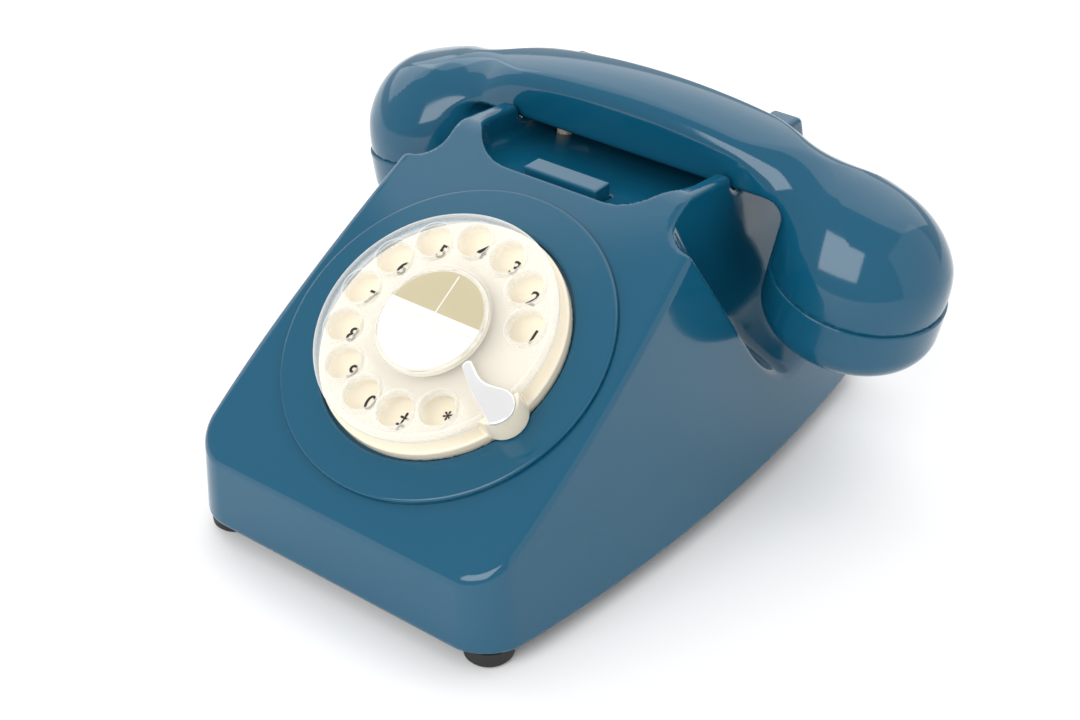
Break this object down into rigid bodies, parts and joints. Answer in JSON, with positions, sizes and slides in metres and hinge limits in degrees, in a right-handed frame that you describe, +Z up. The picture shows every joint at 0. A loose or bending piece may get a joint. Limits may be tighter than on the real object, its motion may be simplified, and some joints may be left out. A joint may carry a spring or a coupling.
{
  "type": "rotary desk telephone",
  "caption": "Wedge-shaped desk telephone with a rotary dial, a recall bar and a handset lying across a horned cradle.",
  "frame": {"origin": "middle of the case's footprint, on the plane the rubber feet stand on", "axes": "+X to the right seen from the front, along the handset; +Y from the front lip to the back; +Z up"},
  "size_m": [0.2222, 0.205, 0.1105],
  "materials": {
    "blue_case": "glossy moulded petrol-blue plastic",
    "blue_handset": "glossy moulded petrol-blue plastic",
    "cream_plate": "glossy cream plastic",
    "black_print": "flat black print",
    "clear_wheel": "polished clear acrylic",
    "card": "white card with a plain gold panel",
    "stop_metal": "polished chrome",
    "plated_steel": "zinc-plated",
    "brass_parts": "satin brass",
    "black_plastic": "satin black plastic",
    "ivory_plastic": "satin ivory plastic",
    "white_plastic": "glossy white plastic",
    "brown_phenolic": "brown phenolic",
    "green_board": "green circuit board",
    "orange_case": "dipped orange",
    "coil_wrap": "red coil tape",
    "base_steel": "black painted steel",
    "iron_weight": "grey cast",
    "foot_rubber": "dull black rubber"
  },
  "bodies": {
    "base": {"case_shell": "blue_case", "base_plate": "base_steel", "rubber_feet": "foot_rubber", "case_screws": "plated_steel", "base_weight": "iron_weight", "dial_surround": "blue_case", "number_plate": "cream_plate", "dial_digits": "black_print", "finger_stop": "stop_metal", "stop_screw": "stop_metal", "dial_plate": "plated_steel", "dial_pillars": "brass_parts", "dial_back_plate": "plated_steel", "dial_screws": "plated_steel", "governor_cup": "brass_parts", "pulse_contacts": "brown_phenolic", "return_spring": "plated_steel", "recall_spring": "plated_steel", "recall_switch": "black_plastic", "hook_pin": "plated_steel", "hook_bracket": "plated_steel", "hook_switch": "black_plastic", "ringer_frame": "plated_steel", "ringer_coils": "coil_wrap", "ringer_magnet": "iron_weight", "gong_left": "brass_parts", "gong_right": "brass_parts", "gong_screws": "plated_steel", "clapper_pin": "plated_steel", "circuit_board": "green_board", "board_posts": "plated_steel", "bell_capacitor": "orange_case", "line_transformer": "iron_weight", "line_jack": "ivory_plastic", "handset_jack": "ivory_plastic", "volume_switch": "black_plastic"},
    "dial_rotor": {"finger_wheel": "clear_wheel", "wheel_hub": "white_plastic", "label_card": "card", "label_cover": "clear_wheel", "main_shaft": "plated_steel", "main_gear": "brass_parts"},
    "pulse_rotor": {"pulse_spindle": "plated_steel", "pulse_gear": "brass_parts", "pulse_cam": "brown_phenolic"},
    "governor_rotor": {"governor_shaft": "plated_steel", "governor_weights": "brass_parts"},
    "recall_button": {"recall_bar": "blue_case"},
    "left_plunger": {"plunger_left": "ivory_plastic"},
    "right_plunger": {"plunger_right": "ivory_plastic"},
    "cradle_hook": {"hook_lever": "brass_parts"},
    "striker": {"clapper": "plated_steel"},
    "volume_knob": {"volume_slider": "white_plastic"},
    "handset": {"handset_shell": "blue_handset", "earpiece_cap": "blue_handset", "mouthpiece_cap": "blue_handset", "receiver_capsule": "black_plastic", "transmitter_capsule": "black_plastic", "handset_weight": "iron_weight", "cord_socket": "ivory_plastic"}
  },
  "joints": [
    {"name": "dial_spin", "type": "hinge", "parent": "base", "child": "dial_rotor", "pos_m": [0, -0.04847, 0.06282], "axis": [0, -0.518, 0.8554], "range_deg": [-330, 0], "stiffness_Nm_per_rad": 0.004, "springref_deg": 28.65},
    {"name": "pulse_spin", "type": "hinge", "parent": "base", "child": "pulse_rotor", "pos_m": [-0.02182, -0.03769, 0.06935], "axis": [0, -0.518, 0.8554], "range_deg": [0, 991]},
    {"name": "governor_spin", "type": "hinge", "parent": "base", "child": "governor_rotor", "pos_m": [-0.02613, -0.04782, 0.06321], "axis": [0, -0.518, 0.8554], "range_deg": [-2476, 0]},
    {"name": "recall_press", "type": "slide", "parent": "base", "child": "recall_button", "axis": [0, 0, -1], "range_m": [0, 0.002], "stiffness_N_per_m": 400, "deforming": ["recall_spring"]},
    {"name": "handset_lift", "type": "slide", "parent": "base", "child": "handset", "axis": [0, 0, 1], "range_m": [0, 0.06]},
    {"name": "left_plunger_rise", "type": "slide", "parent": "base", "child": "left_plunger", "axis": [0, 0, 1], "range_m": [0, 0.0031]},
    {"name": "right_plunger_rise", "type": "slide", "parent": "base", "child": "right_plunger", "axis": [0, 0, 1], "range_m": [0, 0.0031]},
    {"name": "hook_tilt", "type": "hinge", "parent": "base", "child": "cradle_hook", "pos_m": [0, 0.0205, 0.066], "axis": [1, 0, 0], "range_deg": [0, 5.6]},
    {"name": "clapper_swing", "type": "hinge", "parent": "base", "child": "striker", "pos_m": [0, 0.0485, 0.032], "axis": [0, 0, 1], "range_deg": [-12, 12], "stiffness_Nm_per_rad": 0.02},
    {"name": "volume_slide", "type": "slide", "parent": "base", "child": "volume_knob", "axis": [1, 0, 0], "range_m": [-0.004, 0.004]}
  ],
  "couplings": [
    {"joint": "pulse_spin", "follows": "dial_spin", "ratio": -3},
    {"joint": "governor_spin", "follows": "dial_spin", "ratio": 7.5},
    {"joint": "left_plunger_rise", "follows": "handset_lift", "ratio": 0.05},
    {"joint": "right_plunger_rise", "follows": "handset_lift", "ratio": 0.05},
    {"joint": "hook_tilt", "follows": "handset_lift", "rad_per_m": 1.6}
  ]
}
